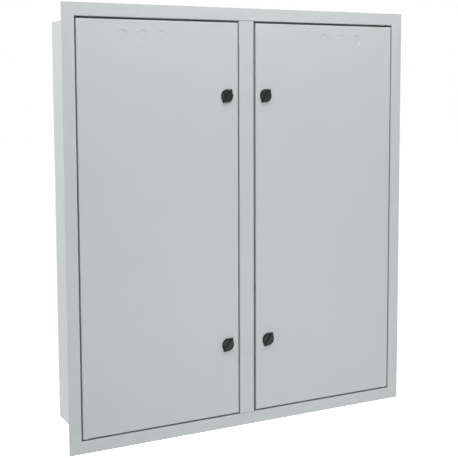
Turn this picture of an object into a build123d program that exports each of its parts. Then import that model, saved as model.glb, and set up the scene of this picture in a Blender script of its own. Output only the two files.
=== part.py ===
from build123d import *
import os

# Flush-mount distribution board with two doors, in millimetres.
# +Z is up and the doors face -Y. The origin is the middle of the four wall fixings, on the
# rear face of the back wall. A depth is measured back from the front face of the flange.

# Casing sheet and overall size
FRAME_W = 920
FRAME_H = 1030
DEPTH = 184
SHEET = 1.5
BEND = 1.0

# Front frame: flange, return and screwed lip
FLANGE = 30
REBATE = 24.5
FRAME_LIP = 18
CASING_SCREWS_X = 500
CASING_SCREWS_Z = 620

# Wall box
BOX_INSET = 32.5
BOX_LIP = 20
FIXING_X = 500
FIXING_Z = 840
FIXING_R = 5

# Cable entry plates in the top and bottom of the box
ENTRY_W = 720
ENTRY_LAP = 16
ENTRY_SETBACK = 70
ENTRY_REAR = 24
ENTRY_KNOCKS = 8
ENTRY_KNOCK_PITCH = 84
ENTRY_KNOCK_R = 13

# Centre post
POST_W = 40
POST_LIP = 11
POST_SEAM = 0.3

# Doors
GAP_TOP = 5
GAP_BOTTOM = 3.5
GAP_HINGE = 3
GAP_LOCK_LEFT = 3
GAP_LOCK_RIGHT = 5
DOOR_FOLD = 20
DOOR_KNOCK_R = 14
DOOR_KNOCK_PITCH = 47.8
DOOR_KNOCKS = 3
DOOR_KNOCK_DOWN = 36
DOOR_KNOCK_SHIFT = 4
KNOCK_SET = 1.3
DOOR_STUD_R = 3
DOOR_STUD_LEN = 12
DOOR_STUD_IN = 45

# Pivot hinges
HINGE_IN = 10
HINGE_BACK = 8
HINGE_FOLD = 14.5
HINGE_RELIEF = 17
PIN_R = 3
PIN_LEN = 16
PIN_HEAD_R = 4.5
PIN_HEAD_H = 1.5
PIN_COLLAR_R = 5
BUSH_R = 4.5
BUSH_FLANGE_R = 5.4
BUSH_FLANGE_H = 1.4
BUSH_PROUD = 0.5

# Quarter-turn locks
LOCK_X = 53
LOCK_Z = 305
LOWER_RIGHT_LOCK_SHIFT = 7
LOCK_COLLAR_R = 16.2
LOCK_COLLAR_H = 1.8
BARREL_R = 10
BARREL_LEN = 19
LOCK_NUT_AF = 27
LOCK_NUT_H = 5
SHAFT_R = 5
SHAFT_SQUARE = 7
HUB_R = 15.4
HUB_H = 4.3
HUB_DRAFT = 28
GRIP_TOP = 9.5
GRIP_LEN = 40
GRIP_W = 9.5
GRIP_TIP_W = 3.6
GRIP_TURN = 54
GRIP_DRAFT = 4
GRIP_SLOPE = 52
GRIP_EDGE_R = 1.4
EDGE_R = 0.8
CAM_REACH = 38
CAM_HUB_R = 9
CAM_TIP_R = 6
CAM_SHEET = 3
CAM_SCREW_R = 2.5
CAM_SCREW_LEN = 9
CAM_SCREW_HEAD_R = 5.5
CAM_SCREW_HEAD_H = 2.5

# Device rows, cover plates and chassis
CHASSIS_INSET = 32.5
ROWS_PER_COVER = 2
COVERS = 3
MODULE = 17.5
MODULES = 18
SLOT_H = 46
SLOT_PLAY = 2
SLOT_CORNER = 2
COVER_DEPTH = 50
COVER_FOLD = 12
COVER_SIDE_GAP = 4.5
COVER_JOINT = 1.5
COVER_SCREW_IN = 10
COVER_SCREW_R = 2
COVER_SCREW_HEAD_R = 4.5
COVER_SCREW_HEAD_H = 2.2
UPRIGHT_FLANGE = 20
UPRIGHT_OVERRUN = 4
TIE_SLOT_H = 60
TIE_SLOT_D = 12
RAIL_TO_COVER = 47
RAIL_W = 35
RAIL_CHANNEL = 27
RAIL_H = 7.5
RAIL_SHEET = 1
RAIL_END_GAP = 1
SPACER_AF = 13
SPACER_IN = 20

# Terminal bars
BAR_W = 9
BAR_T = 7
BAR_STAND = 18
BAR_PITCH = 50
BAR_HOLES = 8
BAR_HOLE_R = 2.5
BAR_HOLE_PITCH = 30
HOLDER_W = 16
HOLDER_H = 84

# Earth stud
EARTH_AF = 17
EARTH_NUT_H = 6
EARTH_R = 4
EARTH_LEN = 24
EARTH_UP = 60

# Screws and clearances
SCREW_R = 2.5
SCREW_HEAD_R = 4.2
SCREW_HEAD_H = 2
SCREW_LEN = 6
HOLE_PLAY = 0.15
RUNNING_FIT = 0.05
MOVING_GAP = 0.3
CAM_GAP = 0.6

# Places worked out from the sizes above
OPEN_X = FRAME_W / 2 - FLANGE
OPEN_Z = FRAME_H / 2 - FLANGE
LIP_MID_X = OPEN_X - FRAME_LIP / 2
LIP_MID_Z = OPEN_Z - FRAME_LIP / 2
BOX_X = FRAME_W / 2 - BOX_INSET
BOX_Z = FRAME_H / 2 - BOX_INSET
BOX_FRONT = REBATE + SHEET
ENTRY_D = DEPTH - ENTRY_SETBACK - ENTRY_REAR
POST_LIP_MID = POST_W / 2 + POST_LIP / 2
DOOR_TOP = OPEN_Z - GAP_TOP
DOOR_BOTTOM = GAP_BOTTOM - OPEN_Z
HINGE_EDGE = OPEN_X - GAP_HINGE
HINGE_X = HINGE_EDGE - HINGE_IN
PIN_COLLAR_H = GAP_BOTTOM - BUSH_FLANGE_H - MOVING_GAP
GRIP_H = GRIP_TOP - LOCK_COLLAR_H - MOVING_GAP
CAM_DEPTH = REBATE + CAM_GAP
BAY_OUTER = BOX_X - BOX_LIP
BAY_INNER = POST_W / 2 + POST_LIP
BAY_MID = (BAY_OUTER + BAY_INNER) / 2
COVER_W = BAY_OUTER - BAY_INNER - 2 * COVER_SIDE_GAP
COVERS_H = 2 * (BOX_Z - CHASSIS_INSET)
COVER_H = COVERS_H / COVERS
ROW_PITCH = COVER_H / ROWS_PER_COVER
UPRIGHT_FRONT = COVER_DEPTH + COVER_FOLD
RAIL_BACK = COVER_DEPTH + SHEET + RAIL_TO_COVER + RAIL_H
WEB_X = COVER_W / 2 - UPRIGHT_FLANGE
FOOT_MID_X = WEB_X - UPRIGHT_FLANGE / 2
ROWS = [COVERS_H / 2 - ROW_PITCH * (row + 0.5) for row in range(ROWS_PER_COVER * COVERS - 1)]
BLANK_ROW = ROWS[-1] - ROW_PITCH
SIDES = {"left": -1, "right": 1}
ENDS = {"upper": 1, "lower": -1}


def y_at(depth):
    return depth - DEPTH


def front(depth, x=0, z=0):
    """Plane that faces the viewer at a depth behind the flange."""
    return Plane(origin=(x, y_at(depth), z), x_dir=(1, 0, 0), z_dir=(0, -1, 0))


def level(z, up, x=0, depth=0):
    """Horizontal plane that faces up (1) or down (-1)."""
    return Plane(origin=(x, y_at(depth), z), x_dir=(1, 0, 0), z_dir=(0, 0, up))


def sunk(plane, outline, length):
    """Outline pushed back from a plane."""
    return extrude(plane * outline, amount=-length)


def folded(points, sheet=SHEET):
    """Section of a folded sheet that lies to the left of its points."""
    radii = []
    for (ax, ay), (bx, by), (cx, cy) in zip(points, points[1:], points[2:]):
        turns_left = (bx - ax) * (cy - by) > (by - ay) * (cx - bx)
        radii.append(BEND + sheet if turns_left else BEND)
    line = FilletPolyline(*points, radius=radii)
    return make_face(Wire(line.edges()).offset_2d(sheet, side=Side.LEFT).edges())


def tray(width, height, depth, fold, x, z):
    """Sheet panel that faces the front, with its four edges folded back."""
    block = sunk(front(depth, x, z), Rectangle(width, height), fold)
    block = fillet(block.faces().sort_by(Axis.Y)[0].edges(), BEND + SHEET)
    return offset(block, -SHEET, openings=block.faces().sort_by(Axis.Y)[-1])


def knock_out(skin, plane, radius):
    """Skin with a round knock-out that is pressed back, with a sloping rim."""
    dish = Cone(radius - KNOCK_SET, radius, KNOCK_SET, align=(Align.CENTER, Align.CENTER, Align.MAX))
    return skin - plane * dish + plane.offset(-SHEET) * dish


def screw(plane, radius, length, head_r, head_h):
    """Screw whose head sits on a plane, with its shank behind it."""
    return extrude(plane * Circle(head_r), amount=head_h) + sunk(plane, Circle(radius), length)


def casing_screw(plane):
    return screw(plane, SCREW_R, SCREW_LEN, SCREW_HEAD_R, SCREW_HEAD_H)


def corners(half_x, half_z):
    return [(x * half_x, z * half_z) for x in (-1, 1) for z in (-1, 1)]


def drilled(shape, planes, radius, length):
    """Shape with a round hole sunk from each plane."""
    for plane in planes:
        shape -= sunk(plane, Circle(radius), length)
    return shape


def save(name, *solids):
    shape = solids[0] if len(solids) == 1 else Compound(children=list(solids))
    export_step(shape, f"parts/{name}.step")


def casing_screw_planes():
    """Screws through the frame lip into the box lip, two on each side."""
    places = corners(CASING_SCREWS_X / 2, LIP_MID_Z) + corners(LIP_MID_X, CASING_SCREWS_Z / 2)
    return [front(REBATE, x, z) for x, z in places]


def post_screw_planes(depth):
    return [front(depth, x, z) for x, z in corners(POST_LIP_MID, LIP_MID_Z)]


def entry_screw_planes(up):
    places = corners((ENTRY_W + ENTRY_LAP) / 2, (ENTRY_D + ENTRY_LAP) / 2)
    inner = up * (BOX_Z - 2 * SHEET)
    return [level(inner, -up, x, ENTRY_SETBACK + ENTRY_D / 2 + dy) for x, dy in places]


def make_front_frame():
    section = folded(
        [
            (OPEN_X - FRAME_LIP, y_at(REBATE)),
            (OPEN_X, y_at(REBATE)),
            (OPEN_X, y_at(0)),
            (FRAME_W / 2, y_at(0)),
        ]
    )
    y = y_at(0)
    opening = Polyline(
        (OPEN_X, y, 0),
        (OPEN_X, y, OPEN_Z),
        (-OPEN_X, y, OPEN_Z),
        (-OPEN_X, y, -OPEN_Z),
        (OPEN_X, y, -OPEN_Z),
        (OPEN_X, y, 0),
    )
    frame = sweep(section, path=opening, transition=Transition.RIGHT)
    holes = casing_screw_planes() + post_screw_planes(REBATE)
    frame = drilled(frame, holes, SCREW_R + HOLE_PLAY, SHEET)
    pins = [
        level(up * OPEN_Z, -up, side * HINGE_X, HINGE_BACK)
        for side in SIDES.values()
        for up in ENDS.values()
    ]
    return drilled(frame, pins, PIN_R + HOLE_PLAY, SHEET)


def make_wall_box():
    depth = DEPTH - BOX_FRONT
    box = sunk(front(BOX_FRONT), Rectangle(2 * BOX_X, 2 * BOX_Z), depth)
    box = fillet(box.edges(), BEND + SHEET)
    hollow = sunk(
        front(BOX_FRONT + SHEET),
        Rectangle(2 * (BOX_X - SHEET), 2 * (BOX_Z - SHEET)),
        depth - 2 * SHEET,
    )
    box -= fillet(hollow.edges(), BEND)
    mouth = RectangleRounded(2 * BAY_OUTER, 2 * (BOX_Z - BOX_LIP), BOX_LIP / 2)
    box -= sunk(front(BOX_FRONT), mouth, SHEET)
    entry = Rectangle(ENTRY_W, ENTRY_D)
    for up in ENDS.values():
        box -= sunk(level(up * BOX_Z, up, 0, ENTRY_SETBACK + ENTRY_D / 2), entry, SHEET)
        box = drilled(box, entry_screw_planes(up), SCREW_R + HOLE_PLAY, SCREW_LEN)
    fixings = [front(DEPTH - SHEET, x, z) for x, z in corners(FIXING_X / 2, FIXING_Z / 2)]
    box = drilled(box, fixings, FIXING_R, SHEET)
    lip_screws = casing_screw_planes() + post_screw_planes(REBATE)
    return drilled(box, lip_screws, SCREW_R + HOLE_PLAY, SCREW_LEN)


def entry_face(up, along=0):
    """Outer face of an entry plate, which lies against the inside of the box."""
    return level(up * (BOX_Z - SHEET), up, along, ENTRY_SETBACK + ENTRY_D / 2)


def make_entry_plate(up):
    plate = sunk(entry_face(up), Rectangle(ENTRY_W + 2 * ENTRY_LAP, ENTRY_D + 2 * ENTRY_LAP), SHEET)
    plate = drilled(plate, entry_screw_planes(up), SCREW_R + HOLE_PLAY, SHEET)
    for index in range(ENTRY_KNOCKS):
        along = (index - (ENTRY_KNOCKS - 1) / 2) * ENTRY_KNOCK_PITCH
        plate = knock_out(plate, entry_face(up, along), ENTRY_KNOCK_R)
    return plate


def make_centre_post():
    lip = y_at(REBATE - SHEET)
    half = POST_W / 2
    section = folded(
        [
            (-half - POST_LIP, lip),
            (-half, lip),
            (-half, y_at(0)),
            (half, y_at(0)),
            (half, lip),
            (half + POST_LIP, lip),
        ]
    )
    length = 2 * (OPEN_Z - POST_SEAM)
    post = extrude(Plane.XY.offset(-length / 2) * section, amount=length)
    corner = Rectangle(POST_W + 2 * POST_LIP, 2 * (BEND + POST_SEAM))
    for up in ENDS.values():
        post -= sunk(front(REBATE - SHEET - BEND, 0, up * OPEN_Z), corner, BEND + SHEET)
    return drilled(post, post_screw_planes(REBATE - SHEET), SCREW_R + HOLE_PLAY, SHEET)


def make_hinge_pin(side, up):
    """Riveted pin: head outside the frame return, collar and pin inside it."""
    inner = level(up * OPEN_Z, -up, side * HINGE_X, HINGE_BACK)
    pin = extrude(inner * Circle(PIN_R), amount=PIN_LEN) + sunk(inner, Circle(PIN_R), SHEET)
    pin += extrude(inner * Circle(PIN_COLLAR_R), amount=PIN_COLLAR_H)
    return pin + sunk(inner.offset(-SHEET), Circle(PIN_HEAD_R), PIN_HEAD_H)


def make_bush(seat):
    """Flanged bush pressed up through a sheet from the seat on its lower face."""
    bush = sunk(seat, Circle(BUSH_FLANGE_R), BUSH_FLANGE_H)
    bush += extrude(seat * Circle(BUSH_R), amount=SHEET + BUSH_PROUD)
    bore = extrude(seat * Circle(PIN_R + RUNNING_FIT), amount=SHEET + BUSH_PROUD)
    return bush - bore - sunk(seat, Circle(PIN_R + RUNNING_FIT), BUSH_FLANGE_H)


def bush_seats(side):
    """Lower face of the door's top and bottom returns, on the hinge axis."""
    x = side * HINGE_X
    return [level(DOOR_TOP - SHEET, 1, x, HINGE_BACK), level(DOOR_BOTTOM, 1, x, HINGE_BACK)]


def lock_place(side, up):
    shift = LOWER_RIGHT_LOCK_SHIFT if side > 0 and up < 0 else 0
    return front(0, side * (LOCK_X + shift), up * LOCK_Z)


def make_door(side, lock_gap):
    hinge_edge = side * HINGE_EDGE
    lock_edge = side * (POST_W / 2 + lock_gap)
    middle = (hinge_edge + lock_edge) / 2
    height = DOOR_TOP - DOOR_BOTTOM
    door = tray(
        abs(hinge_edge - lock_edge), height, 0, DOOR_FOLD, middle, (DOOR_TOP + DOOR_BOTTOM) / 2
    )
    relief = Rectangle(2 * HINGE_RELIEF, FRAME_H)
    door -= sunk(front(HINGE_FOLD, hinge_edge), relief, DOOR_FOLD)
    bush_holes = [seat.offset(SHEET) for seat in bush_seats(side)]
    door = drilled(door, bush_holes, BUSH_R + HOLE_PLAY, SHEET)
    locks = [lock_place(side, up) for up in ENDS.values()]
    door = drilled(door, locks, BARREL_R + HOLE_PLAY, SHEET)
    for index in range(DOOR_KNOCKS):
        x = middle + side * (index * DOOR_KNOCK_PITCH - DOOR_KNOCK_SHIFT)
        door = knock_out(door, front(0, x, DOOR_TOP - DOOR_KNOCK_DOWN), DOOR_KNOCK_R)
    stud_at = front(SHEET, hinge_edge - side * DOOR_STUD_IN, DOOR_BOTTOM + DOOR_STUD_IN)
    return door + sunk(stud_at, Circle(DOOR_STUD_R), DOOR_STUD_LEN)


def make_lock_housing(place):
    collar = extrude(place * Circle(LOCK_COLLAR_R), amount=LOCK_COLLAR_H)
    collar = fillet(collar.faces().sort_by(Axis.Y)[0].edges(), EDGE_R)
    housing = collar + sunk(place, Circle(BARREL_R), BARREL_LEN)
    bore = Circle(SHAFT_R + RUNNING_FIT)
    return housing - sunk(place.offset(LOCK_COLLAR_H), bore, LOCK_COLLAR_H + BARREL_LEN)


def make_lock_nut(place):
    hexagon = RegularPolygon(LOCK_NUT_AF / 2, 6, major_radius=False)
    return sunk(place.offset(-SHEET), hexagon - Circle(BARREL_R + HOLE_PLAY), LOCK_NUT_H)


def make_grip():
    """Grip bar that lies along X, narrow at its sloping ends."""
    tip_x = GRIP_LEN / 2
    tip_y = GRIP_TIP_W / 2
    upper = ThreePointArc((tip_x, tip_y), (0, GRIP_W / 2), (-tip_x, tip_y))
    ends = [Line((x, tip_y), (x, -tip_y)) for x in (-tip_x, tip_x)]
    outline = make_face([upper, mirror(upper, Plane.XZ), *ends])
    bar = extrude(outline, amount=GRIP_H, taper=GRIP_DRAFT)
    side = Plane.XZ * Pos(0, GRIP_H / 2) * Trapezoid(GRIP_LEN, GRIP_H, GRIP_SLOPE)
    bar &= extrude(side, amount=GRIP_W, both=True)
    return fillet(bar.faces().sort_by(Axis.Z)[-1].edges(), GRIP_EDGE_R)


def make_knob(place):
    """Moulded grip bar on a tapered hub, with the shaft that turns in the housing."""
    base = place.offset(LOCK_COLLAR_H + MOVING_GAP)
    hub = extrude(base * Circle(HUB_R), amount=HUB_H, taper=HUB_DRAFT)
    hub = fillet(hub.faces().sort_by(Axis.Y)[0].edges(), EDGE_R)
    grip = base * Rot(0, 0, GRIP_TURN) * make_grip()
    shaft = sunk(base, Circle(SHAFT_R), CAM_DEPTH + LOCK_COLLAR_H + MOVING_GAP)
    square = sunk(place.offset(-CAM_DEPTH), Rectangle(SHAFT_SQUARE, SHAFT_SQUARE), CAM_SHEET)
    end = place.offset(-CAM_DEPTH - CAM_SHEET)
    tapped = extrude(end * Circle(CAM_SCREW_R + HOLE_PLAY), amount=CAM_SCREW_LEN)
    return hub + grip + shaft + square - tapped


def make_cam(place):
    """Pressed cam that hangs from the shaft while the lock is open."""
    tip = Pos(0, CAM_TIP_R - CAM_REACH) * Circle(CAM_TIP_R)
    outline = make_hull([Circle(CAM_HUB_R).edge(), tip.edge()])
    square = SHAFT_SQUARE + HOLE_PLAY
    return sunk(place.offset(-CAM_DEPTH), outline - Rectangle(square, square), CAM_SHEET)


def make_cam_screw(place):
    back = place.offset(-CAM_DEPTH - CAM_SHEET)
    seat = Plane(origin=back.origin, x_dir=back.x_dir, z_dir=-back.z_dir)
    return screw(seat, CAM_SCREW_R, CAM_SCREW_LEN, CAM_SCREW_HEAD_R, CAM_SCREW_HEAD_H)


def spacer_places(bay):
    heights = (COVERS_H / 2 - SPACER_IN, 0, SPACER_IN - COVERS_H / 2)
    return [(bay + foot * FOOT_MID_X, z) for foot in (-1, 1) for z in heights]


def rail_screw_places(bay):
    return [(bay + foot * FOOT_MID_X, z) for foot in (-1, 1) for z in ROWS]


def make_upright(bay, hand):
    """Folded upright: the cover flange turns out of the bay, the rail flange into it."""
    section = folded(
        [
            (-WEB_X - UPRIGHT_FLANGE, y_at(UPRIGHT_FRONT)),
            (-WEB_X, y_at(UPRIGHT_FRONT)),
            (-WEB_X, y_at(RAIL_BACK)),
            (UPRIGHT_FLANGE - WEB_X, y_at(RAIL_BACK)),
        ]
    )
    length = COVERS_H + 2 * UPRIGHT_OVERRUN
    upright = extrude(Plane.XY.offset(-length / 2) * section, amount=length)
    web = Plane(origin=(-WEB_X, y_at((UPRIGHT_FRONT + RAIL_BACK) / 2), 0), z_dir=(1, 0, 0))
    for z in ROWS:
        upright -= sunk(web * Pos(0, z), Rectangle(TIE_SLOT_D, TIE_SLOT_H), SHEET)
    upright = Pos(bay, 0, 0) * (upright if hand < 0 else mirror(upright, Plane.YZ))
    feet = [front(RAIL_BACK, x, z) for x, z in spacer_places(bay) + rail_screw_places(bay)]
    upright = drilled(upright, feet, SCREW_R + HOLE_PLAY, SHEET)
    covers = [front(UPRIGHT_FRONT, x, z) for x, z in cover_screw_places(bay)]
    return drilled(upright, covers, COVER_SCREW_R + HOLE_PLAY, SHEET)


def make_spacer(x, z):
    """Hexagon spacer from the back wall to the foot of an upright, tapped at its front."""
    hexagon = RegularPolygon(SPACER_AF / 2, 6, major_radius=False)
    foot = front(RAIL_BACK + SHEET, x, z)
    spacer = sunk(foot, hexagon, DEPTH - SHEET - RAIL_BACK - SHEET)
    return spacer - sunk(foot, Circle(SCREW_R + HOLE_PLAY), SCREW_LEN)


def make_din_rail(bay, z):
    half = RAIL_CHANNEL / 2
    rim = RAIL_W / 2
    rim_y = y_at(RAIL_BACK - RAIL_H + RAIL_SHEET)
    back_y = y_at(RAIL_BACK)
    section = folded(
        [(rim_y, -rim), (rim_y, -half), (back_y, -half), (back_y, half), (rim_y, half), (rim_y, rim)],
        RAIL_SHEET,
    )
    length = 2 * (WEB_X - SHEET - RAIL_END_GAP)
    rail = extrude(Plane.YZ.offset(-length / 2) * section, amount=length)
    rail = Pos(bay, 0, z) * rail
    ends = [front(RAIL_BACK - RAIL_SHEET, bay + foot * FOOT_MID_X, z) for foot in (-1, 1)]
    return drilled(rail, ends, SCREW_R + HOLE_PLAY, RAIL_SHEET)


def cover_middle(index):
    return COVERS_H / 2 - COVER_H * (index + 0.5)


def cover_screw_places(bay):
    """Two screws in each cover plate, over the flanges of the uprights."""
    half = COVER_W / 2 - COVER_SCREW_IN
    return [(bay + s * half, cover_middle(index)) for index in range(COVERS) for s in (-1, 1)]


def make_cover(bay, index):
    middle = cover_middle(index)
    cover = tray(COVER_W, COVER_H - COVER_JOINT, COVER_DEPTH, COVER_FOLD, bay, middle)
    slot = RectangleRounded(MODULES * MODULE + SLOT_PLAY, SLOT_H, SLOT_CORNER)
    for z in ROWS:
        if abs(z - middle) < COVER_H / 2:
            cover -= sunk(front(COVER_DEPTH, bay, z), slot, SHEET)
    holes = [front(COVER_DEPTH, x, z) for x, z in cover_screw_places(bay)]
    return drilled(cover, holes, COVER_SCREW_R + HOLE_PLAY, SHEET)


def make_cover_screw(x, z):
    length = COVER_FOLD + 2 * SHEET
    return screw(
        front(COVER_DEPTH, x, z), COVER_SCREW_R, length, COVER_SCREW_HEAD_R, COVER_SCREW_HEAD_H
    )


def make_bar(bay, z):
    """Brass terminal bar, cross-drilled for the wires."""
    length = 2 * (FOOT_MID_X + HOLDER_W / 2)
    bar = sunk(front(RAIL_BACK - BAR_STAND - BAR_T, bay, z), Rectangle(length, BAR_W), BAR_T)
    for index in range(BAR_HOLES):
        x = bay + (index - (BAR_HOLES - 1) / 2) * BAR_HOLE_PITCH
        top = level(z + BAR_W / 2, 1, x, RAIL_BACK - BAR_STAND - BAR_T / 2)
        bar -= sunk(top, Circle(BAR_HOLE_R), BAR_W)
    return bar


def make_bar_holder(x):
    """Insulating saddle on an upright's foot, notched for the two bars."""
    face = RAIL_BACK - BAR_STAND - BAR_T
    holder = sunk(front(face, x, BLANK_ROW), Rectangle(HOLDER_W, HOLDER_H), BAR_STAND + BAR_T)
    for s in (-1, 1):
        notch = Rectangle(HOLDER_W, BAR_W)
        holder -= sunk(front(face, x, BLANK_ROW + s * BAR_PITCH / 2), notch, BAR_T)
    return holder


def make_earth_stud():
    """Stud with a hexagon collar on the back wall, below the middle."""
    seat = front(DEPTH - SHEET, 0, EARTH_UP - BOX_Z)
    collar = extrude(seat * RegularPolygon(EARTH_AF / 2, 6, major_radius=False), amount=EARTH_NUT_H)
    return collar + extrude(seat * Circle(EARTH_R), amount=EARTH_LEN)


os.makedirs("parts", exist_ok=True)

# Casing
save("wall_box", make_wall_box())
save("front_frame", make_front_frame())
save("centre_post", make_centre_post())
save("earth_stud", make_earth_stud())
entry_screws = []
for end, name in ((1, "top_entry_plate"), (-1, "bottom_entry_plate")):
    save(name, make_entry_plate(end))
    entry_screws += entry_screw_planes(end)
screw_planes = casing_screw_planes() + post_screw_planes(REBATE - SHEET) + entry_screws
save("casing_screws", *[casing_screw(plane) for plane in screw_planes])

# Chassis, device rows and covers of the two bays
spacers = []
chassis_screws = []
cover_screws = []
bar_holders = []
for side_name, side_sign in SIDES.items():
    bay_x = side_sign * BAY_MID
    for hand_name, hand_sign in (("outer", side_sign), ("inner", -side_sign)):
        save(f"{side_name}_{hand_name}_upright", make_upright(bay_x, hand_sign))
    spacers += [make_spacer(x, z) for x, z in spacer_places(bay_x)]
    chassis_screws += [casing_screw(front(RAIL_BACK, x, z)) for x, z in spacer_places(bay_x)]
    for row, row_z in enumerate(ROWS, 1):
        save(f"{side_name}_din_rail_{row}", make_din_rail(bay_x, row_z))
    rail_front = RAIL_BACK - RAIL_SHEET
    chassis_screws += [casing_screw(front(rail_front, x, z)) for x, z in rail_screw_places(bay_x)]
    for cover in range(COVERS):
        save(f"{side_name}_cover_{cover + 1}", make_cover(bay_x, cover))
    cover_screws += [make_cover_screw(x, z) for x, z in cover_screw_places(bay_x)]
    bar_holders += [make_bar_holder(bay_x + foot * FOOT_MID_X) for foot in (-1, 1)]
    save(f"{side_name}_neutral_bar", make_bar(bay_x, BLANK_ROW + BAR_PITCH / 2))
    save(f"{side_name}_earth_bar", make_bar(bay_x, BLANK_ROW - BAR_PITCH / 2))
save("chassis_spacers", *spacers)
save("chassis_screws", *chassis_screws)
save("cover_screws", *cover_screws)
save("bar_holders", *bar_holders)

# Doors, hinges and locks
for side_name, lock_gap in (("left", GAP_LOCK_LEFT), ("right", GAP_LOCK_RIGHT)):
    side_sign = SIDES[side_name]
    save(f"{side_name}_door", make_door(side_sign, lock_gap))
    save(f"{side_name}_hinge_bushes", *[make_bush(seat) for seat in bush_seats(side_sign)])
    places = [lock_place(side_sign, end) for end in ENDS.values()]
    save(f"{side_name}_lock_housings", *[make_lock_housing(place) for place in places])
    save(f"{side_name}_lock_nuts", *[make_lock_nut(place) for place in places])
    for end_name, end in ENDS.items():
        where = f"{end_name}_{side_name}"
        lock = lock_place(side_sign, end)
        save(f"{where}_hinge_pin", make_hinge_pin(side_sign, end))
        save(f"{where}_knob", make_knob(lock))
        save(f"{where}_cam", make_cam(lock))
        save(f"{where}_cam_screw", make_cam_screw(lock))
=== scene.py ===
import math

import bmesh
import bpy
from mathutils import Matrix, Vector


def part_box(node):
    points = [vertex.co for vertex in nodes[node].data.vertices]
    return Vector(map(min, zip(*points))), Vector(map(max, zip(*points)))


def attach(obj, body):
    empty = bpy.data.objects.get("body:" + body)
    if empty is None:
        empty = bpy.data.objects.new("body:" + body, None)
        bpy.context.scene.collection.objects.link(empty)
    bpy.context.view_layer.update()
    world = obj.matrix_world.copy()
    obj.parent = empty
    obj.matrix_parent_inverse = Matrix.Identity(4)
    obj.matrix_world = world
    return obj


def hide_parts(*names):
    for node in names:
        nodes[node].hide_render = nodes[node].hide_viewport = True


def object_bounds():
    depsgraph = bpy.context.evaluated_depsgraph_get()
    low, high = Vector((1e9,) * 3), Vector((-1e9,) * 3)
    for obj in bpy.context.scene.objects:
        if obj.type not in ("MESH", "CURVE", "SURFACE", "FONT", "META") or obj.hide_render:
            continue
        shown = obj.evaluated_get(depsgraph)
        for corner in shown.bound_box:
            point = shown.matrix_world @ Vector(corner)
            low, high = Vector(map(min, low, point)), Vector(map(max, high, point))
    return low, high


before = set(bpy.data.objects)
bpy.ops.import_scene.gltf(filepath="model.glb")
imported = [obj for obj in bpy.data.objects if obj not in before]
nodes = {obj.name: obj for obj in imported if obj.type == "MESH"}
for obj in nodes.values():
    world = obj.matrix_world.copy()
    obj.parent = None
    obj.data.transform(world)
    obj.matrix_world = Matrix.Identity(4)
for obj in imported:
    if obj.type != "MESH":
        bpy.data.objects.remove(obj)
cad_low, cad_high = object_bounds()


# Wall box
# The tray that is walled in: 1.5 mm sheet steel, folded and welded at its corners.
# It is powder coated inside and out, like all of the casing.
def linear(hex_colour):
    """Scene-linear RGBA of an sRGB hex colour."""
    channels = [int(hex_colour[i : i + 2], 16) / 255 for i in (1, 3, 5)]
    return [c / 12.92 if c <= 0.04045 else ((c + 0.055) / 1.055) ** 2.4 for c in channels] + [1.0]


def add(tree, kind, inputs=None, **settings):
    """Adds one shader node. Its inputs are values or the output sockets that feed them."""
    node = tree.nodes.new("ShaderNode" + kind)
    for name, value in settings.items():
        setattr(node, name, value)
    for key, value in (inputs or {}).items():
        if isinstance(value, bpy.types.NodeSocket):
            tree.links.new(value, node.inputs[key])
        else:
            node.inputs[key].default_value = value
    return node


def new_finish(name):
    """Material with an empty tree, and the object's own coordinates in it."""
    material = bpy.data.materials.new(name)
    material.use_nodes = True
    tree = material.node_tree
    tree.nodes.clear()
    return material, tree, add(tree, "TexCoord").outputs["Object"]


def per_metre(size_mm):
    """Texture scale that gives features of a size in millimetres."""
    return 1000 / size_mm


def noise(tree, where, size_mm, detail):
    """Noise from 0 to 1 with features of a size in millimetres."""
    inputs = {"Vector": where, "Scale": per_metre(size_mm), "Detail": detail}
    return add(tree, "TexNoise", inputs).outputs["Fac"]


def between(tree, share, first, second):
    """Colour between two hex colours, by a share from 0 to 1."""
    SHARE, FIRST, SECOND, MIXED = 0, 6, 7, 2
    inputs = {SHARE: share, FIRST: linear(first), SECOND: linear(second)}
    return add(tree, "Mix", inputs, data_type="RGBA").outputs[MIXED]


def around(tree, share, middle, spread):
    """Value a little below or above a middle, by a share from 0 to 1."""
    inputs = {"Value": share, "To Min": middle - spread, "To Max": middle + spread}
    return add(tree, "MapRange", inputs).outputs["Result"]


def bumps(tree, height, strength, depth):
    """Normals of a surface that bumps of a depth in metres roughen."""
    inputs = {"Height": height, "Strength": strength, "Distance": depth}
    return add(tree, "Bump", inputs).outputs["Normal"]


def surface(tree, inputs):
    """Ends a tree with one principled shader."""
    shader = add(tree, "BsdfPrincipled", inputs)
    add(tree, "OutputMaterial", {"Surface": shader.outputs["BSDF"]})


def powder_coat(name, colour, cloud_colour, roughness):
    """Baked polyester powder: satin, with a fine orange peel and a barely cloudy tone."""
    PEEL_MM = 2.2
    PEEL_STRENGTH = 0.5
    PEEL_DEPTH = 0.00002
    CLOUD_MM = 160
    GLOSS_SPREAD = 0.05
    material, tree, where = new_finish(name)
    peel = noise(tree, where, PEEL_MM, detail=2.0)
    cloud = noise(tree, where, CLOUD_MM, detail=3.0)
    surface(
        tree,
        {
            "Base Color": between(tree, cloud, colour, cloud_colour),
            "Roughness": around(tree, peel, roughness, GLOSS_SPREAD),
            "IOR": 1.5,
            "Normal": bumps(tree, peel, PEEL_STRENGTH, PEEL_DEPTH),
        },
    )
    return material


def dress(finish, *names):
    """Gives CAD nodes a finish."""
    for name in names:
        for slot in nodes[name].material_slots:
            slot.material = finish


casing_coat = powder_coat("light_grey_powder_coat", "#C7CBCC", "#CBCFCF", roughness=0.46)
dress(casing_coat, "wall_box")

# Cable entry plates
# Loose plates in the top and bottom of the box, with round knock-outs for cable glands.
# They are cut from the same sheet and coated in the same grey.
dress(casing_coat, "top_entry_plate", "bottom_entry_plate")

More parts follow.
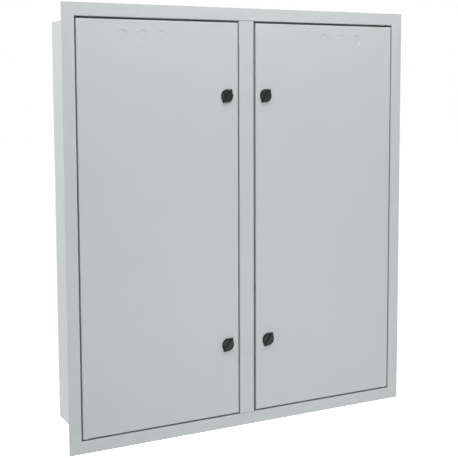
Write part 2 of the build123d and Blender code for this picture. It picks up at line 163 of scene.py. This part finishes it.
# Chassis uprights and spacers
# Folded from galvanised sheet and left bare, so the zinc shows its soft crystal spangle.
# Hexagon steel spacers stand them off the back wall.
SIDES = ("left", "right")


def bare_metal(tree, shade, dark, light, roughness, gloss_spread):
    """Ends a tree with a metal whose tone and gloss follow a shade from 0 to 1."""
    surface(
        tree,
        {
            "Base Color": between(tree, shade, dark, light),
            "Metallic": 1.0,
            "Roughness": around(tree, shade, roughness, gloss_spread),
        },
    )


def zinc_coat(name, dark, light, roughness, spangle_mm):
    """Zinc on steel: a dull metal whose crystals differ a little in tone and gloss."""
    GLOSS_SPREAD = 0.08
    material, tree, where = new_finish(name)
    inputs = {"Vector": where, "Scale": per_metre(spangle_mm), "Randomness": 1.0}
    crystal = add(tree, "TexVoronoi", inputs).outputs["Color"]
    shade = add(tree, "SeparateColor", {"Color": crystal}).outputs["Red"]
    bare_metal(tree, shade, dark, light, roughness, GLOSS_SPREAD)
    return material


galvanised = zinc_coat("galvanised_sheet", "#A3A7A9", "#BFC3C4", roughness=0.45, spangle_mm=14)
for side in SIDES:
    dress(galvanised, f"{side}_outer_upright", f"{side}_inner_upright")

plated = zinc_coat("bright_zinc_plate", "#B4B8BB", "#C6C9CB", roughness=0.32, spangle_mm=3)
dress(plated, "chassis_spacers")

# Device rails
# Top-hat rails, rolled from strip and bright zinc plated, screwed to the uprights' feet.
# Rolling leaves fine lines along the rail.
RAIL_ROWS = 5


def drawn_metal(name, dark, light, roughness, line_mm, length_mm):
    """Metal with fine lines along X from rolls or a die."""
    GLOSS_SPREAD = 0.06
    material, tree, where = new_finish(name)
    stretch = (per_metre(length_mm), per_metre(line_mm), per_metre(line_mm))
    along = add(tree, "Mapping", {"Vector": where, "Scale": stretch}).outputs["Vector"]
    inputs = {"Vector": along, "Scale": 1.0, "Detail": 3.0}
    lines = add(tree, "TexNoise", inputs).outputs["Fac"]
    bare_metal(tree, lines, dark, light, roughness, GLOSS_SPREAD)
    return material


rolled = drawn_metal(
    "rolled_zinc_strip", "#A9ADB0", "#C9CCCE", roughness=0.34, line_mm=0.8, length_mm=60
)
for side in SIDES:
    for row in range(1, RAIL_ROWS + 1):
        dress(rolled, f"{side}_din_rail_{row}")


# Chassis screws
# Pan-head screws with a cross recess, pressed from wire and zinc plated.
# They hold the rails to the uprights and the uprights to their spacers.
def screw_solids(node):
    """Vertices of each separate solid of a screw node."""
    WELD = 1e-6
    bm = bmesh.new()
    bm.from_mesh(nodes[node].data)
    bmesh.ops.remove_doubles(bm, verts=bm.verts, dist=WELD)
    found = []
    for seed in bm.verts:
        if seed.tag:
            continue
        seed.tag = True
        island = [seed]
        for vert in island:
            for edge in vert.link_edges:
                other = edge.other_vert(vert)
                if not other.tag:
                    other.tag = True
                    island.append(other)
        found.append([vert.co.copy() for vert in island])
    bm.free()
    return found


def screw_form(points):
    """Place of a screw's seat, with +Z out of its head, and its radii and lengths."""
    SAME_LEVEL = 1e-5
    LEVEL_DIGITS = 6
    low = Vector(min(p[i] for p in points) for i in range(3))
    high = Vector(max(p[i] for p in points) for i in range(3))
    size = high - low
    middle = (low + high) / 2
    along = min(range(3), key=lambda i: abs(size[i - 1] - size[i - 2]))

    def radius_at(level):
        ring = [p for p in points if abs(p[along] - level) < SAME_LEVEL]
        flat = [Vector([0 if i == along else p[i] - middle[i] for i in range(3)]) for p in ring]
        return max(v.length for v in flat)

    tip, top = sorted((low[along], high[along]), key=radius_at)
    levels = {round(p[along], LEVEL_DIGITS) for p in points}
    under_head = sorted(levels, key=lambda level: abs(level - top))[1]
    seat = middle.copy()
    seat[along] = under_head
    out = Vector((0, 0, 0))
    out[along] = math.copysign(1, top - tip)
    place = Matrix.Translation(seat) @ out.to_track_quat("Z", "Y").to_matrix().to_4x4()
    head_r = size[along - 1] / 2
    return place, head_r, abs(under_head - top), radius_at(tip), abs(under_head - tip)


def add_cross_screw(bm, place, head_r, head_h, shank_r, length):
    """Domed head with a cross recess, and a shank with a chamfered end."""
    STEPS = 24
    WELD = 1e-7
    CROSS_R = 0.52 * head_r
    LAND_R = 1.12 * CROSS_R
    DOME = ((0.78, 0.88), (0.95, 0.55), (1.0, 0.15))
    SLOT_HALF = 0.15 * head_r
    RECESS_DEPTH = 0.75 * head_h
    RECESS_TAPER = 0.7
    CHAMFER = 0.3 * shank_r
    before = set(bm.verts)

    # Half section, from the flat land round the recess to the tip, spun about Z
    outline = [
        (LAND_R, head_h),
        *((across * head_r, up * head_h) for across, up in DOME),
        (head_r, 0),
        (shank_r, 0),
        (shank_r, CHAMFER - length),
        (shank_r - CHAMFER, -length),
        (0, -length),
    ]
    line = [bm.verts.new((x, 0, z)) for x, z in outline]
    edges = [bm.edges.new(pair) for pair in zip(line, line[1:])]
    bmesh.ops.spin(
        bm,
        geom=line + edges,
        axis=(0, 0, 1),
        cent=(0, 0, 0),
        angle=2 * math.pi,
        steps=STEPS,
        use_merge=True,
    )
    spun = [v for v in bm.verts if v not in before]
    bmesh.ops.remove_doubles(bm, verts=spun, dist=WELD)
    rim = [e for e in bm.edges if e.is_boundary and e.verts[0] not in before]

    # Mouth of the cross: one arm's three corners, turned through four quarters
    arm = [(SLOT_HALF, -SLOT_HALF), (CROSS_R, -SLOT_HALF), (CROSS_R, SLOT_HALF)]
    corners = 4 * len(arm)
    cross = bmesh.ops.create_circle(bm, cap_ends=False, radius=1, segments=corners)["verts"]
    cross.sort(key=lambda v: math.atan2(v.co.y, v.co.x))
    for index, vert in enumerate(cross):
        quarter, corner = divmod(index, len(arm))
        vert.co = Vector((*arm[corner], head_h))
        vert.co.rotate(Matrix.Rotation(quarter * math.pi / 2, 3, "Z"))
    mouth = list({e for v in cross for e in v.link_edges})
    bmesh.ops.triangle_fill(bm, edges=rim + mouth, use_beauty=True, normal=(0, 0, 1))

    # Tapering walls and floor of the recess
    sunk = bmesh.ops.extrude_edge_only(bm, edges=mouth)["geom"]
    floor_verts = [g for g in sunk if isinstance(g, bmesh.types.BMVert)]
    floor_edges = [g for g in sunk if isinstance(g, bmesh.types.BMEdge)]
    bmesh.ops.scale(bm, vec=(RECESS_TAPER, RECESS_TAPER, 1), verts=floor_verts)
    bmesh.ops.translate(bm, vec=(0, 0, -RECESS_DEPTH), verts=floor_verts)
    bmesh.ops.contextual_create(bm, geom=floor_edges)

    screw = [v for v in bm.verts if v not in before]
    faces = {f for v in screw for f in v.link_faces}
    bmesh.ops.recalc_face_normals(bm, faces=list(faces))
    bmesh.ops.transform(bm, matrix=place, verts=screw)


def mesh_object(name, bm, finish):
    """Object in the scene with a mesh that is done."""
    mesh = bpy.data.meshes.new(name)
    bm.to_mesh(mesh)
    bm.free()
    mesh.materials.append(finish)
    thing = bpy.data.objects.new(name, mesh)
    bpy.context.scene.collection.objects.link(thing)
    return thing


def cross_screws(name, node, body):
    """Plated cross-head screws in the places of a node's plain ones."""
    SHARP = math.radians(35)
    bm = bmesh.new()
    for points in screw_solids(node):
        add_cross_screw(bm, *screw_form(points))
    piece = mesh_object(name, bm, plated)
    piece.data.shade_smooth()
    piece.data.set_sharp_from_angle(angle=SHARP)
    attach(piece, body)
    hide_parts(node)


cross_screws("chassis_cross_screws", "chassis_screws", "cabinet")

# Terminal bars and their holders
# Drawn brass bars, cross-drilled for the wires: neutral above, earth below.
# They lie in the notches of insulating saddles, moulded in grey thermoplastic.
brass = drawn_metal(
    "drawn_brass", "#B08D45", "#D2AE62", roughness=0.28, line_mm=0.6, length_mm=45
)
for side in SIDES:
    dress(brass, f"{side}_neutral_bar", f"{side}_earth_bar")


def moulded(name, colour, roughness, shine, grain_mm, grain_depth):
    """Moulded thermoplastic with the fine grain of an eroded tool."""
    GRAIN_STRENGTH = 0.6
    GLOSS_SPREAD = 0.06
    material, tree, where = new_finish(name)
    grain = noise(tree, where, grain_mm, detail=2.0)
    surface(
        tree,
        {
            "Base Color": linear(colour),
            "Roughness": around(tree, grain, roughness, GLOSS_SPREAD),
            "Specular IOR Level": shine,
            "Normal": bumps(tree, grain, GRAIN_STRENGTH, grain_depth),
        },
    )
    return material


insulator = moulded(
    "grey_thermoplastic", "#8D9296", roughness=0.5, shine=0.5, grain_mm=0.8, grain_depth=0.00004
)
dress(insulator, "bar_holders")

# Earth stud
# A turned brass stud with a hexagon collar, fixed to the back wall under the middle.
dress(brass, "earth_stud")

# Cover plates
# Folded trays over the rails, slotted for the fronts of the modular devices.
# They have a paler powder coat than the casing, and two screws each.
BAY_COVERS = 3
cover_coat = powder_coat("pale_grey_powder_coat", "#D9DCDB", "#DDE0DF", roughness=0.5)
for side in SIDES:
    for cover in range(1, BAY_COVERS + 1):
        dress(cover_coat, f"{side}_cover_{cover}")
cross_screws("cover_cross_screws", "cover_screws", "cabinet")

# Front frame and centre post
# The frame is one folded strip mitred at its corners: flange, return and screwed lip.
# The post is a folded strip of the same sheet, screwed in behind the frame's lips.
dress(casing_coat, "front_frame", "centre_post")
cross_screws("casing_cross_screws", "casing_screws", "cabinet")

# Hinge pins and bushes
# Turned pins, zinc plated, riveted into the frame's top and bottom returns; their near-black
# colour is painted shade for the dark gaps at the hinge corners.
# They run in flanged bushes of natural nylon, pressed into the doors.
ENDS = ("upper", "lower")
# Painted shade: the zinc of the pins is given a near-black colour so the hinge corners of the
# gaps read dark.
pin_painted_shade_zinc = zinc_coat("zinc_plate_painted_shade", "#2B2D2E", "#37393A", roughness=0.45, spangle_mm=3)
nylon = moulded(
    "natural_nylon", "#E3E0D3", roughness=0.42, shine=0.5, grain_mm=0.6, grain_depth=0.00002
)
for side in SIDES:
    dress(nylon, f"{side}_hinge_bushes")
    for end in ENDS:
        dress(pin_painted_shade_zinc, f"{end}_{side}_hinge_pin")

# Doors
# Sheet steel trays with rounded folds, flush with the flange, in the casing's grey.
# Three knock-outs near the top are pressed back, with sloping rims.
dress(casing_coat, "left_door", "right_door")

# Quarter-turn locks
# Black polyamide housing and knob, with a nut behind the door's sheet.
# A pressed steel cam is screwed to the square end of the knob's shaft.
polyamide = moulded(
    "black_polyamide", "#0D0E0F", roughness=0.5, shine=0.3, grain_mm=0.7, grain_depth=0.00002
)
for side in SIDES:
    dress(polyamide, f"{side}_lock_housings")
    dress(plated, f"{side}_lock_nuts")
    for end in ENDS:
        lock = f"{end}_{side}"
        dress(polyamide, f"{lock}_knob")
        dress(plated, f"{lock}_cam")
        cross_screws(f"{lock}_cam_cross_screw", f"{lock}_cam_screw", f"{lock}_lock")

# Studio floor
# A pale floor well below the board, which hangs at the height of its wall recess.
# It is white to the eye and still takes the board's shadow.
FLOOR_BELOW = 0.9
FLOOR_HALF = 20.0
FLOOR_CELLS = 4
FLOOR_GLOW = 0.96
FLOOR_GRAIN_MM = 400
FLOOR_ROUGHNESS = 0.8
FLOOR_GLOSS_SPREAD = 0.05


def seen_directly(tree):
    """1 for rays that show a surface to the eye, also by way of metal or glass."""
    path = add(tree, "LightPath").outputs
    mirrored = {0: path["Is Glossy Ray"], 1: path["Is Transmission Ray"]}
    mirror = add(tree, "Math", mirrored, operation="MAXIMUM").outputs[0]
    seen = {0: path["Is Camera Ray"], 1: mirror}
    return add(tree, "Math", seen, operation="MAXIMUM").outputs[0]


floor_white, tree, where = new_finish("white_floor")
grain = noise(tree, where, FLOOR_GRAIN_MM, detail=2.0)
dimmed = {0: seen_directly(tree), 1: FLOOR_GLOW}
surface(
    tree,
    {
        "Base Color": linear("#E6E6E6"),
        "Roughness": around(tree, grain, FLOOR_ROUGHNESS, FLOOR_GLOSS_SPREAD),
        "Specular IOR Level": 0.0,
        "Emission Color": linear("#FFFFFF"),
        "Emission Strength": add(tree, "Math", dimmed, operation="MULTIPLY").outputs[0],
    },
)
bm = bmesh.new()
bmesh.ops.create_grid(bm, x_segments=FLOOR_CELLS, y_segments=FLOOR_CELLS, size=FLOOR_HALF)
bmesh.ops.translate(bm, vec=(0, 0, cad_low.z - FLOOR_BELOW), verts=bm.verts)
floor = mesh_object("floor", bm, floor_white)

# Studio light
# A white room, soft boxes in front, low down, overhead and at the right, a narrow one
# at the left that draws the folds and the knobs, and three behind for the back of the box.
ROOM_LIGHT = 0.1
world = bpy.data.worlds.new("white_room")
world.use_nodes = True
tree = world.node_tree
tree.nodes.clear()
room = add(tree, "Background", {"Color": linear("#FAFCFF"), "Strength": ROOM_LIGHT})
backdrop = add(tree, "Background", {"Color": linear("#FFFFFF"), "Strength": 1.0})
mixed = add(
    tree,
    "MixShader",
    {0: seen_directly(tree), 1: room.outputs["Background"], 2: backdrop.outputs["Background"]},
)
add(tree, "OutputWorld", {"Surface": mixed.outputs["Shader"]})
bpy.context.scene.world = world


def soft_box(name, place, target, size, watts):
    """Rectangular area lamp that faces a point."""
    lamp = bpy.data.lights.new(name, "AREA")
    lamp.shape = "RECTANGLE"
    lamp.size, lamp.size_y = size
    lamp.energy = watts
    holder = bpy.data.objects.new(name, lamp)
    facing = (Vector(target) - Vector(place)).to_track_quat("-Z", "Y")
    holder.matrix_world = Matrix.Translation(place) @ facing.to_matrix().to_4x4()
    bpy.context.scene.collection.objects.link(holder)


soft_box("front_soft_box", (-0.6, -2.9, 1.7), (0, -0.18, 0), size=(1.8, 1.2), watts=10)
soft_box("low_soft_box", (0.8, -2.6, -0.8), (0, -0.18, -0.2), size=(1.8, 0.6), watts=23)
soft_box("overhead_soft_box", (0.0, -0.95, 1.5), (0, -0.18, 0.3), size=(1.8, 0.7), watts=17)
soft_box("left_soft_box", (-2.3, -0.29, 0.35), (0, -0.19, 0.15), size=(0.16, 2.2), watts=27)
soft_box("right_soft_box", (2.6, -0.5, 1.0), (0, -0.18, 0), size=(0.8, 0.8), watts=7)
soft_box("back_soft_box", (0.2, 3.0, 0.9), (0, 0, 0), size=(1.6, 1.4), watts=20)
soft_box("back_left_soft_box", (-2.0, 2.2, 1.1), (0, 0, 0.1), size=(1.4, 1.4), watts=15)
soft_box("back_right_soft_box", (2.0, 2.2, 1.1), (0, 0, 0.1), size=(1.4, 1.4), watts=26)

# Camera
# Placed by the flange's four corners and the doors' corners in the photograph.
# The picture is 458 pixels wide on a 36 mm sensor.
PICTURE_PX = 458
SENSOR_MM = 36
FOCAL_PX = 949.6
SHIFT_UP = 0.12
CAMERA_FROM_CORNER = Vector((-0.622, -2.0445, 0.842))
YAW = math.radians(26.815)
PITCH = math.radians(5.249)
ROLL = math.radians(-0.213)

front_corner = Vector((cad_low.x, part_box("front_frame")[0].y, cad_low.z))
ahead = Vector(
    (math.sin(YAW) * math.cos(PITCH), math.cos(YAW) * math.cos(PITCH), -math.sin(PITCH))
)
across = Vector((math.cos(YAW), -math.sin(YAW), 0))
over = across.cross(ahead)
right = across * math.cos(ROLL) + over * math.sin(ROLL)
upward = over * math.cos(ROLL) - across * math.sin(ROLL)
lens = bpy.data.cameras.new("camera")
lens.sensor_width = SENSOR_MM
lens.lens = FOCAL_PX * SENSOR_MM / PICTURE_PX
lens.shift_y = -SHIFT_UP
camera = bpy.data.objects.new("camera", lens)
camera.matrix_world = Matrix.Translation(front_corner + CAMERA_FROM_CORNER) @ (
    Matrix((right, upward, -ahead)).transposed().to_4x4()
)
bpy.context.scene.collection.objects.link(camera)
bpy.context.scene.camera = camera
bpy.context.scene.view_settings.view_transform = "Standard"
